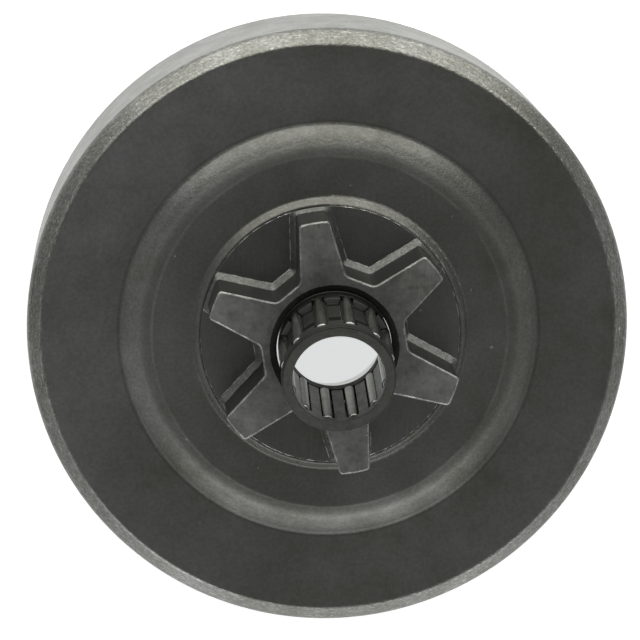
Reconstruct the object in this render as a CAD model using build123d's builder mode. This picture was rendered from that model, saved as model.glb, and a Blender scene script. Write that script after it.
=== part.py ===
"""Chainsaw clutch drum with its spur sprocket and a needle bearing that leans in the bore's mouth.

Millimetres. The drum stands on its open rim at z = 0, and +Z runs along its axis towards the sprocket.
"""
import os
from math import cos, isclose, radians, sin, tan

from build123d import *

# Clutch drum: a pressed cup
drum_radius = 35.1
drum_depth = 18.6
wall_thickness = 2.7
web_thickness = 2.4
rim_break = 0.3
inner_corner_radius = 1.6
edge_bevel_width = 1.7
edge_bevel_height = 1.5
edge_bevel_round = 0.9
edge_bevel_inner_round = 0.6

# Pressed steps of the web, from the sprocket outwards
shoulder_width = 0.95
shoulder_land = 0.2
shoulder_rise = 0.75
shoulder_round = 0.44
land_width = 4.6
step_width = 3.6
step_rise = 1.8
step_crown = 0.35
step_foot_round = 0.6

# Spur sprocket: a toothed star on a flange that is brazed into the web
tooth_count = 6
first_tooth_angle = 39.2
tip_radius = 14.65
tip_width = 3.4
tip_round = 0.45
flank_angle = 8.0
tooth_height = 8.45
root_wall = 0.9
root_round = 0.9
tooth_base_bevel = 0.7
tooth_edge_break = 0.15
flange_margin = 0.4
seat_flange_overlap = 2.0
seat_flange_thickness = 1.2
braze_gap = 0.03
mouth_bevel_width = 0.8
mouth_bevel_depth = 0.5
mouth_edge_round = 0.12
bore_back_break = 0.4

# Needle bearing: loose needles in the pockets of a one-piece cage
shaft_radius = 5.0
needle_count = 12
needle_radius = 0.75
needle_length = 7.8
needle_end_round = 0.25
first_needle_angle = 18.5
bearing_clearance = 0.05
pocket_clearance = 0.04
pocket_mouth = 1.48
pocket_end_play = 0.05
cage_bore_clearance = 0.22
cage_inset = 0.11
cage_ring_width = 1.05
cage_ring_round = 0.1
bar_thickness = 0.5
bar_inset = 0.05
bar_shoulder = 0.8
bar_slope = 0.2

# The loose bearing stands off centre in the bore's mouth and leans until it rests on both sides
bearing_lean = 12.4
lean_direction = -90.0
seat_offset = 0.32
rest_gap = 0.01

# Heights and radii that follow from the sizes above
flange_radius = tip_radius + flange_margin
web_hole_radius = flange_radius + braze_gap
shoulder_radius = web_hole_radius + shoulder_width
land_radius = shoulder_radius + land_width
step_radius = land_radius + step_width
track_radius = drum_radius - wall_thickness
land_height = drum_depth + step_rise
disc_height = land_height + shoulder_rise
web_seat_height = land_height - web_thickness
sprocket_back = web_seat_height - seat_flange_thickness
sprocket_face = disc_height + tooth_height

pitch_radius = shaft_radius + needle_radius
envelope_radius = pitch_radius + needle_radius
bore_radius = envelope_radius + bearing_clearance
mouth_radius = bore_radius + mouth_bevel_width
mouth_edge_height = sprocket_face - mouth_bevel_depth
root_radius = mouth_radius + root_wall

cage_bore_radius = shaft_radius + cage_bore_clearance
cage_radius = envelope_radius - cage_inset
cage_length = needle_length + 2 * (pocket_end_play + cage_ring_width)

# The needles on the low side rest on the edge of the mouth
lean = radians(bearing_lean)
seat_drop = ((bore_radius + seat_offset) * cos(lean) - envelope_radius - rest_gap) / sin(lean)
lean_x = cos(radians(lean_direction))
lean_y = sin(radians(lean_direction))
bearing = Plane(
    origin=(-seat_offset * lean_x, -seat_offset * lean_y, mouth_edge_height - seat_drop),
    x_dir=(lean_x * cos(lean), lean_y * cos(lean), -sin(lean)),
    z_dir=(lean_x * sin(lean), lean_y * sin(lean), cos(lean)),
)


def rings(part, radius, height):
    """The circular edges of a turned part at one radius and one height."""
    return part.edges().filter_by(GeomType.CIRCLE).filter_by(
        lambda edge: isclose(edge.radius, radius, abs_tol=1e-4)
        and isclose(edge.arc_center.Z, height, abs_tol=1e-4)
    )


# Clutch drum
with BuildPart() as clutch_drum:
    step_lean = step_rise / step_width
    inner_shift = web_thickness * step_lean / 2
    with BuildSketch(Plane.XZ):
        with BuildLine():
            Polyline(
                (land_radius, land_height),
                (shoulder_radius, land_height),
                (web_hole_radius + shoulder_land, disc_height),
                (web_hole_radius, disc_height),
                (web_hole_radius, web_seat_height),
                (land_radius - inner_shift, web_seat_height),
                (step_radius - inner_shift, drum_depth - web_thickness),
                (track_radius, drum_depth - web_thickness),
                (track_radius, 0),
                (drum_radius, 0),
                (drum_radius, drum_depth - edge_bevel_height),
                (drum_radius - edge_bevel_width, drum_depth),
                (step_radius, drum_depth),
            )
            ThreePointArc(
                (step_radius, drum_depth),
                ((step_radius + land_radius) / 2, (drum_depth + land_height) / 2 + step_crown),
                (land_radius, land_height),
            )
        make_face()
    revolve(axis=Axis.Z)
    fillet(rings(clutch_drum, track_radius, drum_depth - web_thickness), inner_corner_radius)
    fillet(rings(clutch_drum, drum_radius, drum_depth - edge_bevel_height), edge_bevel_round)
    fillet(rings(clutch_drum, drum_radius - edge_bevel_width, drum_depth), edge_bevel_inner_round)
    fillet(rings(clutch_drum, step_radius, drum_depth), step_foot_round)
    fillet(rings(clutch_drum, shoulder_radius, land_height), shoulder_round)
    fillet(rings(clutch_drum, web_hole_radius + shoulder_land, disc_height), shoulder_round)
    chamfer(rings(clutch_drum, drum_radius, 0), rim_break)
    chamfer(rings(clutch_drum, track_radius, 0), rim_break)
clutch_drum.part.label = "clutch_drum"

# Spur sprocket
with BuildPart() as spur_sprocket:
    with BuildSketch(Plane.XY.offset(web_seat_height)):
        Circle(tip_radius + 2 * tooth_base_bevel)
    extrude(amount=disc_height - web_seat_height)
    with BuildSketch(Plane.XY.offset(disc_height)) as star:
        RegularPolygon(root_radius, tooth_count, major_radius=False, rotation=first_tooth_angle)
        with PolarLocations(tip_radius / 2, tooth_count, start_angle=first_tooth_angle):
            Trapezoid(
                tip_width + 2 * tip_radius * tan(radians(flank_angle)),
                tip_radius,
                90 - flank_angle,
                rotation=-90,
            )
        Circle(tip_radius, mode=Mode.INTERSECT)
        fillet(star.vertices().group_by(SortBy.DISTANCE)[-1], tip_round)
        fillet(star.vertices().group_by(SortBy.DISTANCE)[0], root_round)
    extrude(amount=tooth_height)
    chamfer(spur_sprocket.faces().sort_by(Axis.Z)[-1].edges(), tooth_edge_break)
    base_edges = spur_sprocket.edges().filter_by_position(Axis.Z, disc_height, disc_height)
    chamfer(base_edges.sort_by(SortBy.LENGTH)[:-1], tooth_base_bevel)
    with BuildSketch(Plane.XY.offset(web_seat_height)):
        Circle(flange_radius)
    extrude(amount=sprocket_face - web_seat_height, mode=Mode.INTERSECT)
    with BuildSketch(Plane.XY.offset(sprocket_back)):
        Circle(web_hole_radius + seat_flange_overlap)
    extrude(amount=seat_flange_thickness)
    with BuildSketch(Plane.XY.offset(sprocket_back)):
        Circle(bore_radius)
    extrude(amount=sprocket_face - sprocket_back, mode=Mode.SUBTRACT)
    chamfer(
        rings(spur_sprocket, bore_radius, sprocket_face),
        mouth_bevel_width,
        mouth_bevel_depth,
        reference=spur_sprocket.faces().sort_by(Axis.Z)[-1],
    )
    fillet(rings(spur_sprocket, bore_radius, mouth_edge_height), mouth_edge_round)
    chamfer(rings(spur_sprocket, bore_radius, sprocket_back), bore_back_break)
spur_sprocket.part.label = "spur_sprocket"

# Needle cage
half_outline = [
    (cage_radius, cage_ring_width + bar_shoulder),
    (cage_bore_radius + bar_inset + bar_thickness, cage_ring_width + bar_shoulder + bar_slope),
]
half_inside = [
    (cage_bore_radius, 0),
    (cage_bore_radius, cage_ring_width),
    (cage_bore_radius + bar_inset, cage_ring_width),
]
with BuildPart() as needle_cage:
    with BuildSketch(Plane(bearing.origin, x_dir=bearing.x_dir, z_dir=-bearing.y_dir)):
        with BuildLine():
            Polyline(
                (cage_radius, 0),
                *half_outline,
                *[(r, cage_length - s) for r, s in reversed(half_outline)],
                (cage_radius, cage_length),
                *[(r, cage_length - s) for r, s in half_inside],
                *reversed(half_inside),
                close=True,
            )
        make_face()
    revolve(axis=Axis(bearing.origin, bearing.z_dir))
    with BuildSketch(bearing.offset(cage_ring_width)):
        with PolarLocations(pitch_radius, needle_count, start_angle=first_needle_angle):
            Circle(needle_radius + pocket_clearance)
            Rectangle(2 * needle_radius, pocket_mouth)
    extrude(amount=cage_length - 2 * cage_ring_width, mode=Mode.SUBTRACT)
    end_faces = needle_cage.faces().sort_by(Axis(bearing.origin, bearing.z_dir))
    outer_edges = [end_faces[i].outer_wire().edges() for i in (0, -1)]
    fillet(outer_edges[0] + outer_edges[1], cage_ring_round)
needle_cage.part.label = "needle_cage"

# Needle rollers
needle_rollers = []
for number in range(1, needle_count + 1):
    turn = first_needle_angle + (number - 1) * 360 / needle_count
    with BuildPart() as needle_roller:
        with BuildSketch(bearing.offset(cage_ring_width + pocket_end_play)):
            with PolarLocations(pitch_radius, 1, start_angle=turn):
                Circle(needle_radius)
        extrude(amount=needle_length)
        fillet(needle_roller.edges().filter_by(GeomType.CIRCLE), needle_end_round)
    needle_roller.part.label = f"needle_roller_{number:02d}"
    needle_rollers.append(needle_roller)

os.makedirs("parts", exist_ok=True)
for piece in (clutch_drum, spur_sprocket, needle_cage, *needle_rollers):
    export_step(piece.part, f"parts/{piece.part.label}.step")
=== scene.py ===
"""Looks of a chainsaw clutch drum with its spur sprocket and needle bearing, in metres."""
from math import cos, pi, radians, sin

import bpy
from mathutils import Matrix, Vector


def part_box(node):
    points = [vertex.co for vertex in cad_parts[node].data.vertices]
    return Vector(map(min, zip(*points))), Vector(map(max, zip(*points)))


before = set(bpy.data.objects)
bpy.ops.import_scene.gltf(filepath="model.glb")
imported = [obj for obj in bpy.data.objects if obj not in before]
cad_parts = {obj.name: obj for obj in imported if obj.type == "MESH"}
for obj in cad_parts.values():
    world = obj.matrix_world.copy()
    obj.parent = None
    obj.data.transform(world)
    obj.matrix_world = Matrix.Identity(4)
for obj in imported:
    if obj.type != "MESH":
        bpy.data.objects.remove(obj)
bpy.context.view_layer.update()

right = (1, 0, 0)
back = (0, 1, 0)
up = (0, 0, 1)

# Camera, fitted to the rings of the drum and the sprocket in the photograph; face_centre is in its pixels
image_width = 640
sensor_width = 36.0
face_distance = 0.4017
pixels_per_metre = 8603.5
face_centre = Vector((9.15, -10.53))
face_tilt = radians(11.17)
tilt_heading = radians(16.40)
nearest_seen = 0.01

# Drum: places where its finish changes
drum_face = 0.0186
wall_top = drum_face - 0.0018
shoulder_radius = 0.01603
land_radius = 0.02063
crest_radius = 0.02163
foot_radius = 0.02438
bevel_radius = 0.0334
# The way towards which painted light makes the drum paler
painted_light_side = (cos(radians(155)), sin(radians(155)), 0)

# Sprocket: places where its finish changes
sprocket_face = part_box("spur_sprocket")[1].z
# From here up the bore's mouth is painted black, as shade
mouth_shade_end = sprocket_face - 0.0008
mouth_end = sprocket_face - 0.0012
ground_start = sprocket_face - 0.0020
bore_radius = 0.00655
mouth_radius = 0.00735
dark_hub_radius = 0.0080
pale_teeth_radius = 0.0130

# Bearing: its seat and axis, and where the cage's finish changes, by height above the seat and by radius
bearing_seat = (0.0, 0.00032, 0.02817)
bearing_lean = radians(12.4)
bearing_axis = (0.0, -sin(bearing_lean), cos(bearing_lean))
back_ring_end = 0.0009
front_ring_start = 0.0095
front_rim_radius = 0.00615
# Bands of painted shade on the bars, by height above the seat
shaded_bar_bands = ((0.0019, 0.0027), (0.0057, 0.0082))

# Finish that all the steel shares
edge_round = 0.00014
edge_samples = 4
noise_roughness = 0.6
wear_size = 0.0011
streak_radius = 0.009

# Lamps and room
key_colour = (1, 1, 0.94)
key_radiance = 2.8
key_width = 1.0
fill_colour = (1, 1, 1)
fill_radiance = 1.35
fill_width = 0.8
softbox_height = 0.40
softbox_elevation = radians(24)
softbox_distance = 0.55
ceiling_radiance = 0.34
wall_radiance = 0.66
side_radiance = 0.45

# Floor: it glows for the camera and, more, in reflections; inside the drum its glow is painted light on one
# side and painted shade on the rest
floor_size = 1.2
floor_colour = (0.9, 0.9, 0.9, 1)
glow_colour = (0.975, 1.0, 1.0, 1)
floor_glow = 0.58
mirrored_glow = 0.70
inside_glow = 0.70
inside_radius = 0.0335
shade_start = -0.0046
shade_full = -0.0030


class Nodes:
    """A node tree, with short calls for the nodes used here."""

    def __init__(self, tree):
        self.tree = tree

    def add(self, kind, inputs=(), **settings):
        """A new node: settings are its own properties, inputs are values or links by name or number."""
        node = self.tree.nodes.new("ShaderNode" + kind)
        for key, value in settings.items():
            setattr(node, key, value)
        for key, value in dict(inputs).items():
            self.feed(node.inputs[key], value)
        return node

    def feed(self, socket, value):
        """Gives a socket a link or a value."""
        if isinstance(value, bpy.types.NodeSocket):
            self.tree.links.new(value, socket)
        else:
            socket.default_value = value

    def math(self, operation, a, b=0.0):
        return self.add("Math", {0: a, 1: b}, operation=operation).outputs[0]

    def times(self, first, *others):
        for other in others:
            first = self.math("MULTIPLY", first, other)
        return first

    def along(self, vector, way):
        """How far vector goes along way, which has length 1."""
        return self.add("VectorMath", {0: vector, 1: way}, operation="DOT_PRODUCT").outputs["Value"]

    def length(self, vector):
        return self.add("VectorMath", {0: vector}, operation="LENGTH").outputs["Value"]

    def ramp(self, value, low, high, out_low=0.0, out_high=1.0):
        """Takes value from low..high to out_low..out_high, smoothly and held at the ends."""
        inputs = {0: value, 1: low, 2: high, 3: out_low, 4: out_high}
        return self.add("MapRange", inputs, interpolation_type="SMOOTHSTEP").outputs[0]

    def noise(self, vector, size, low, high, detail=3.0):
        """Noise with features about size metres across, stretched so that low..high becomes 0..1."""
        inputs = {"Vector": vector, "Scale": 1 / size, "Detail": detail, "Roughness": noise_roughness}
        return self.ramp(self.add("TexNoise", inputs).outputs[0], low, high)

    def mix(self, factor, a, b, kind="MIX"):
        """Colour a where factor is 0; where it is 1, colour b or a and b multiplied."""
        inputs = {0: factor, 6: a, 7: b}
        return self.add("Mix", inputs, data_type="RGBA", blend_type=kind).outputs[2]


def grey(level, warmth=0.0):
    """A grey, yellower with more warmth."""
    return (level * (1 + warmth / 2), level * (1 + warmth / 2), level * (1 - warmth), 1)


class Steel(Nodes):
    """Dark steel in the part's own frame, built up from its blank surface in layers."""

    def __init__(self, name, level, roughness, warmth=0.05):
        self.material = bpy.data.materials.new(name)
        self.material.use_nodes = True
        super().__init__(self.material.node_tree)
        own = self.add("TexCoord").outputs
        self.place = own["Object"]
        self.facing = own["Normal"]
        x, y, self.z = self.add("SeparateXYZ", {0: self.place}).outputs
        self.radius = self.math("SQRT", self.math("ADD", self.times(x, x), self.times(y, y)))
        self.round = self.math("ARCTAN2", y, x)
        self.normal = self.add("NewGeometry").outputs["Normal"]
        self.rounded = self.add("Bevel", {"Radius": edge_round}, samples=edge_samples).outputs[0]
        self.colour = grey(level, warmth)
        self.rough = roughness
        self.metal = 1.0
        self.height = 0.0

    def tint(self, mask, by, warmth=0.0):
        """Multiplies the colour where mask is 1."""
        self.colour = self.mix(mask, self.colour, grey(by, warmth), "MULTIPLY")

    def smooth(self, mask, by):
        """Takes that much off the roughness where mask is 1."""
        self.rough = self.math("SUBTRACT", self.rough, self.times(mask, by))

    def matt_tint(self, mask, by):
        """Where mask is 1: the colour times that factor, and no gloss; with a small factor this is painted
        shade.
        """
        self.tint(mask, by)
        self.metal = self.math("SUBTRACT", self.metal, mask)

    def raise_by(self, mask, amount):
        """Adds to the height that the bump follows, in metres."""
        self.height = self.math("ADD", self.height, self.times(mask, amount))

    def ring(self, radius, width):
        """1 on a ring round the drum's axis, falling to 0 at half its width to either side."""
        away = self.math("ABSOLUTE", self.math("SUBTRACT", self.radius, radius))
        return self.ramp(away, width / 2, width / 8)

    def from_bearing(self):
        """The way from the bearing's seat."""
        return self.add("VectorMath", {0: self.place, 1: bearing_seat}, operation="SUBTRACT").outputs[0]

    def mottle(self, amount):
        """Pale and dark oil stains, clouds and fine grain."""
        pale_stain = self.noise(self.place, size=0.018, low=0.35, high=0.65)
        dark_stain = self.noise(self.place, size=0.010, low=0.5, high=0.75)
        cloud = self.noise(self.place, size=0.0035, low=0.3, high=0.7, detail=4)
        grain = self.noise(self.place, size=0.0004, low=0.3, high=0.7)
        self.tint(pale_stain, by=1 + 0.16 * amount, warmth=-0.02)
        self.tint(dark_stain, by=1 - 0.12 * amount, warmth=0.05)
        self.tint(cloud, by=1 + 0.10 * amount, warmth=-0.02)
        self.tint(grain, by=1 - 0.10 * amount)
        self.smooth(cloud, by=0.03 * amount)
        self.raise_by(grain, 0.000004 * amount)

    def scratches(self, amount):
        """Faint lines that run two ways."""
        patch = self.noise(self.place, size=0.005, low=0.45, high=0.65)
        for turn in (0.5, 1.9):
            mapping = {"Vector": self.place, "Rotation": (0, 0, turn), "Scale": (1, 0.05, 1)}
            lay = self.add("Mapping", mapping).outputs[0]
            line = self.noise(lay, size=0.00022, low=0.5, high=0.7, detail=2)
            self.tint(self.times(line, patch), by=1 + amount)

    def specks(self, amount):
        """A few pale specks."""
        self.tint(self.noise(self.place, size=0.0008, low=0.86, high=0.90, detail=0), by=1 + amount)

    def turned(self, mask, gritty):
        """Fine lines round the axis, left by the tool, where mask is 1, and grit with painted glints where
        gritty is 1 too.
        """
        turn = self.times(self.round, streak_radius)
        across = self.add("CombineXYZ", {0: self.radius, 1: self.z, 2: turn}).outputs[0]
        line = self.times(self.noise(across, size=0.00016, low=0.3, high=0.7, detail=2), mask)
        pit = self.times(self.noise(self.place, size=0.0003, low=0.35, high=0.65), mask, gritty)
        glint = self.times(self.noise(across, size=0.00024, low=0.54, high=0.68), mask, gritty)
        self.tint(line, by=1.40)
        self.tint(pit, by=0.76)
        self.tint(glint, by=1.5)
        self.raise_by(line, 0.000006)
        self.raise_by(pit, 0.000010)

    def worn_edges_painted_light(self, level, least=0.15, low=0.35):
        """Worn edges, where the rounded normal leaves the true one, coloured at that level: pale ones are
        also painted highlight, dark ones painted shade. In patches, fewer with a higher low.
        """
        turn = self.along(self.rounded, self.normal)
        patch = self.ramp(self.noise(self.place, wear_size, low, high=0.62), 0, 1, least)
        wear_and_light = self.times(self.ramp(turn, 0.995, 0.92), patch)
        self.colour = self.mix(wear_and_light, self.colour, grey(level, warmth=0.03))
        self.smooth(wear_and_light, by=0.10)

    def corner_shade(self, amount, reach=0.0006, alone=True):
        """Painted shade in the piece's own corners, or also where other pieces are near."""
        settings = {"samples": edge_samples, "only_local": alone}
        corner = self.add("AmbientOcclusion", {"Distance": reach}, **settings).outputs["AO"]
        self.tint(self.ramp(corner, 0.75, 0.3), by=1 - amount)

    def done(self):
        """Joins the layers to the surface and gives the material."""
        bump = self.add("Bump", {"Distance": 1.0, "Height": self.height, "Normal": self.rounded})
        surface = self.tree.nodes["Principled BSDF"].inputs
        surface["Specular IOR Level"].default_value = 0.0
        self.feed(surface["Metallic"], self.metal)
        self.feed(surface["Base Color"], self.colour)
        self.feed(surface["Roughness"], self.rough)
        self.feed(surface["Normal"], bump.outputs[0])
        return self.material


def drum_steel():
    """Pressed and blackened: streaked on its slopes, dull round the sprocket, with painted shade at the
    step's foot, and painted light and shade by side and by facing on its bevel, step and flats.
    """
    s = Steel("drum_steel", level=0.125, roughness=0.42, warmth=0.07)
    s.mottle(1.7)
    bevel = s.ramp(s.radius, bevel_radius - 0.0003, bevel_radius)
    inner = s.ramp(bevel, 1, 0)
    wall = s.ramp(s.z, wall_top, wall_top - 0.0006)
    slope = s.ramp(s.along(s.facing, up), 0.985, 0.90)
    slope = s.times(slope, s.ramp(s.radius, bevel_radius - 0.001, bevel_radius - 0.002))
    slope = s.math("MAXIMUM", slope, bevel)
    s.turned(s.times(slope, s.ramp(bevel, 0, 1, 0.35, 1)), gritty=s.ramp(wall, 0, 1, 1, 0.3))

    # The bevel is painted darker at the sides, as painted shade, with a painted highlight along its inner
    # edge there
    sideways = s.math("DIVIDE", s.math("ABSOLUTE", s.along(s.place, right)), s.radius)
    s.tint(bevel, by=0.96)
    s.tint(s.times(bevel, s.ramp(sideways, 0.45, 0.80)), by=0.76)
    line = s.times(s.ring(bevel_radius + 0.0001, width=0.0004), s.ramp(sideways, 0.2, 0.6))
    s.tint(s.times(line, s.noise(s.place, size=0.012, low=0.35, high=0.55)), by=1.5)

    # The step is painted paler on its crest and at the sides, as painted highlight, darker where it faces
    # back, as painted shade, and with painted shade at its foot
    step = s.times(slope, inner, s.ramp(s.radius, crest_radius, crest_radius + 0.0012))
    crest_highlight = s.times(slope, s.ramp(s.radius, land_radius, land_radius + 0.0003), s.ramp(step, 1, 0))
    s.tint(crest_highlight, by=1.15)
    s.tint(step, by=0.70)
    s.tint(s.times(step, s.ramp(sideways, 0.75, 0.97)), by=1.5)
    s.tint(s.times(step, s.ramp(s.along(s.facing, back), 0.15, 0.35)), by=0.90)
    s.tint(s.ring(foot_radius, width=0.0009), by=0.80)

    # Painted shade makes the flats darker than the slopes, and painted light makes them paler towards one
    # side
    s.tint(s.ramp(slope, 1, 0), by=0.84)
    s.tint(s.times(inner, s.ramp(s.along(s.place, painted_light_side), 0.006, 0.030)), by=1.25, warmth=-0.03)
    s.tint(s.ramp(s.radius, shoulder_radius + 0.0002, shoulder_radius), by=0.75)
    # A pale line on the land's edge, in patches: painted highlight
    land_highlight_patch = s.noise(s.place, size=0.006, low=0.4, high=0.6)
    s.tint(s.times(s.ring(land_radius, width=0.0005), land_highlight_patch), by=1.3)
    s.scratches(0.04)
    s.specks(1.2)
    s.worn_edges_painted_light(0.30)
    # Painted shade in the drum's corners
    s.corner_shade(0.5)
    return s.done()


def sprocket_steel():
    """A black forging with a ground front face and bore, and the mouth of the bore painted black, as shade,
    without gloss.
    """
    s = Steel("sprocket_steel", level=0.105, roughness=0.42)
    s.mottle(1.2)

    # The front is pale on the teeth, darker at the hub and cloudy
    front = s.ramp(s.z, sprocket_face - 0.0004, sprocket_face - 0.0001)
    s.tint(front, by=1.70)
    s.tint(s.times(front, s.ramp(s.radius, pale_teeth_radius, dark_hub_radius)), by=0.70)
    s.tint(s.times(front, s.noise(s.place, size=0.0022, low=0.35, high=0.65, detail=4)), by=1.32)
    s.tint(s.times(front, s.noise(s.place, size=0.0048, low=0.5, high=0.7)), by=0.74)
    s.tint(s.times(front, s.noise(s.place, size=0.0007, low=0.5, high=0.72)), by=0.80)

    # The bevels at the foot of the teeth are gritty
    upward = s.along(s.facing, up)
    slope = s.times(s.ramp(upward, 0.95, 0.85), s.ramp(upward, 0.3, 0.5))
    grit = s.times(slope, s.noise(s.place, size=0.00028, low=0.36, high=0.64))
    s.tint(grit, by=0.68)
    s.raise_by(grit, 0.000006)
    s.scratches(0.12)
    s.specks(1.2)
    s.worn_edges_painted_light(0.60, least=0.05, low=0.44)

    # The bore's mouth is painted black as shade, without gloss, and the bore below it is ground
    inside = s.ramp(s.radius, mouth_radius + 0.00004, mouth_radius - 0.00004)
    s.smooth(inside, by=0.15)
    s.matt_tint(s.times(inside, s.ramp(s.z, mouth_end, mouth_shade_end, 0, 0.97)), by=0.16)
    bore = s.ramp(s.radius, bore_radius + 0.0003, bore_radius + 0.0001)
    ground = s.times(bore, s.ramp(s.z, mouth_end, ground_start))
    s.tint(ground, by=5.0)
    s.smooth(ground, by=0.12)
    # Painted shade in the sprocket's corners
    s.corner_shade(0.6)
    return s.done()


def cage_steel():
    """Pickled sheet, dull and darker than the needles."""
    s = Steel("cage_steel", level=0.095, roughness=0.38)
    s.mottle(1.2)
    s.scratches(0.15)
    out = s.from_bearing()
    height = s.along(out, bearing_axis)
    outward = s.along(out, s.facing)

    # The inside is painted darker, as shade, and stained, and its back ring is dull
    inside = s.ramp(outward, -0.003, -0.005)
    s.tint(inside, by=0.60, warmth=0.06)
    stain = s.noise(s.place, size=0.0012, low=0.45, high=0.60, detail=4)
    bright = s.noise(s.place, size=0.0007, low=0.52, high=0.64, detail=2)
    s.tint(s.times(inside, stain), by=0.50, warmth=0.06)
    s.tint(s.times(inside, bright), by=1.5)
    s.matt_tint(s.times(inside, s.ramp(height, back_ring_end + 0.0003, back_ring_end, 0, 0.6)), by=1.2)

    # The bars are painted dark outside, next to their shoulders: painted shade, without gloss
    outside = s.ramp(outward, 0.003, 0.005, 0, 0.95)
    for start, end in shaded_bar_bands:
        past_start = s.ramp(height, start - 0.0001, start + 0.0001)
        before_end = s.ramp(height, end + 0.0001, end - 0.0001)
        s.matt_tint(s.times(past_start, before_end, outside), by=0.08)

    # The front ring is mottled, with painted shade on its rim
    front = s.ramp(height, front_ring_start, front_ring_start + 0.0003)
    s.tint(front, by=0.84, warmth=0.02)
    s.tint(s.times(front, s.noise(s.place, size=0.0010, low=0.35, high=0.65, detail=4)), by=0.82, warmth=0.03)
    away = s.length(out)
    reach = s.math("SQRT", s.math("SUBTRACT", s.times(away, away), s.times(height, height)))
    s.tint(s.times(front, s.ramp(reach, front_rim_radius, front_rim_radius + 0.00012)), by=0.5)
    # The edges are painted darker: painted shade
    s.worn_edges_painted_light(0.045, least=0.6)
    # Painted shade in the cage's corners and where other pieces are near
    s.corner_shade(0.85, reach=0.0008, alone=False)
    return s.done()


def needle_steel():
    """Ground and polished rollers, stained, with painted shade where they face inwards, more on their sides
    that face +x.
    """
    s = Steel("needle_steel", level=0.33, roughness=0.24, warmth=0.04)
    s.mottle(0.7)
    s.tint(s.noise(s.place, size=0.0014, low=0.42, high=0.68, detail=4), by=0.74, warmth=0.06)
    # Painted shade on the inward faces, and more where they turn to +x
    inside = s.ramp(s.along(s.from_bearing(), s.facing), -0.001, -0.003)
    s.tint(inside, by=0.66, warmth=0.04)
    s.tint(s.times(inside, s.ramp(s.along(s.facing, right), -0.1, 0.4)), by=0.4)
    s.worn_edges_painted_light(0.60, least=0.5)
    return s.done()


def finish_nodes():
    """Gives each CAD node its steel."""
    needles = needle_steel()
    steels = {"clutch_drum": drum_steel(), "spur_sprocket": sprocket_steel(), "needle_cage": cage_steel()}
    for name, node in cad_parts.items():
        node.data.materials.clear()
        node.data.materials.append(steels.get(name, needles))


def add_floor():
    """A pale floor, white to the eye and in reflections, that still takes the drum's shadow."""
    bpy.ops.mesh.primitive_plane_add(size=floor_size, location=(0, 0, 0))
    floor = bpy.context.object
    floor.name = "floor"
    material = bpy.data.materials.new("floor_white")
    material.use_nodes = True
    s = Nodes(material.node_tree)
    s.tree.nodes.remove(s.tree.nodes["Principled BSDF"])
    seen = s.add("LightPath").outputs
    place = s.add("TexCoord").outputs["Object"]
    # Inside the drum: a painted pool of light on the -y side, painted shadow on the rest
    inside = s.ramp(s.along(place, back), shade_start, shade_full, inside_glow, 0.0)
    level = s.ramp(s.length(place), inside_radius - 0.001, inside_radius, inside, floor_glow)
    mirrored = s.math("MAXIMUM", seen["Is Glossy Ray"], seen["Is Transmission Ray"])
    shown = s.math("MAXIMUM", s.times(seen["Is Camera Ray"], level), s.times(mirrored, mirrored_glow))
    glow = s.add("Emission", {"Color": glow_colour, "Strength": shown})
    matt = s.add("BsdfDiffuse", {"Color": floor_colour})
    both = s.add("AddShader", {0: glow.outputs[0], 1: matt.outputs[0]})
    s.feed(s.tree.nodes["Material Output"].inputs["Surface"], both.outputs[0])
    floor.data.materials.append(material)


def add_softbox(name, radiance, colour, width, heading):
    """A soft box that faces the drum from that heading."""
    lamp = bpy.data.lights.new(name, "AREA")
    lamp.color = colour
    lamp.shape = "RECTANGLE"
    lamp.size = width
    lamp.size_y = softbox_height
    lamp.energy = radiance * pi * width * softbox_height
    box = bpy.data.objects.new(name, lamp)
    level = cos(softbox_elevation)
    out = Vector((cos(heading) * level, sin(heading) * level, sin(softbox_elevation)))
    box.location = out * softbox_distance
    box.rotation_euler = out.to_track_quat("Z", "Y").to_euler()
    bpy.context.scene.collection.objects.link(box)


def add_light():
    """Two long soft boxes, above and below the drum in the picture, in a room darker at its top and sides."""
    add_softbox("key", key_radiance, key_colour, key_width, heading=radians(90))
    add_softbox("fill", fill_radiance, fill_colour, fill_width, heading=radians(-90))
    world = bpy.data.worlds.new("room")
    world.use_nodes = True
    bpy.context.scene.world = world
    s = Nodes(world.node_tree)
    way = s.add("TexCoord").outputs["Generated"]
    wall = s.ramp(s.math("ABSOLUTE", s.along(way, back)), 0.0, 0.8, side_radiance, wall_radiance)
    level = s.ramp(s.along(way, up), 0.3, 0.95, wall, ceiling_radiance)
    shown = s.math("MAXIMUM", level, s.add("LightPath").outputs["Is Camera Ray"])
    s.feed(s.tree.nodes["Background"].inputs["Color"], (1, 1, 1, 1))
    s.feed(s.tree.nodes["Background"].inputs["Strength"], shown)


def add_camera():
    """The photograph's camera: the drum's axis leans by face_tilt towards tilt_heading in the picture."""
    lean = sin(face_tilt)
    axis = Vector((lean * sin(tilt_heading), -lean * cos(tilt_heading), cos(face_tilt)))
    across = (Vector(right) - axis * axis.x).normalized()
    turn = Matrix((across, axis.cross(across), axis))
    aim = Vector((face_centre.x / pixels_per_metre, face_centre.y / pixels_per_metre, -face_distance))
    camera = bpy.data.cameras.new("camera")
    camera.sensor_width = sensor_width
    camera.lens = sensor_width * pixels_per_metre * face_distance / image_width
    camera.clip_start = nearest_seen
    holder = bpy.data.objects.new("camera", camera)
    place = Vector((0, 0, drum_face)) - turn @ aim
    holder.matrix_world = Matrix.Translation(place) @ turn.to_4x4()
    bpy.context.scene.collection.objects.link(holder)
    bpy.context.scene.camera = holder


finish_nodes()
add_floor()
add_light()
add_camera()
bpy.context.scene.view_settings.view_transform = "Standard"
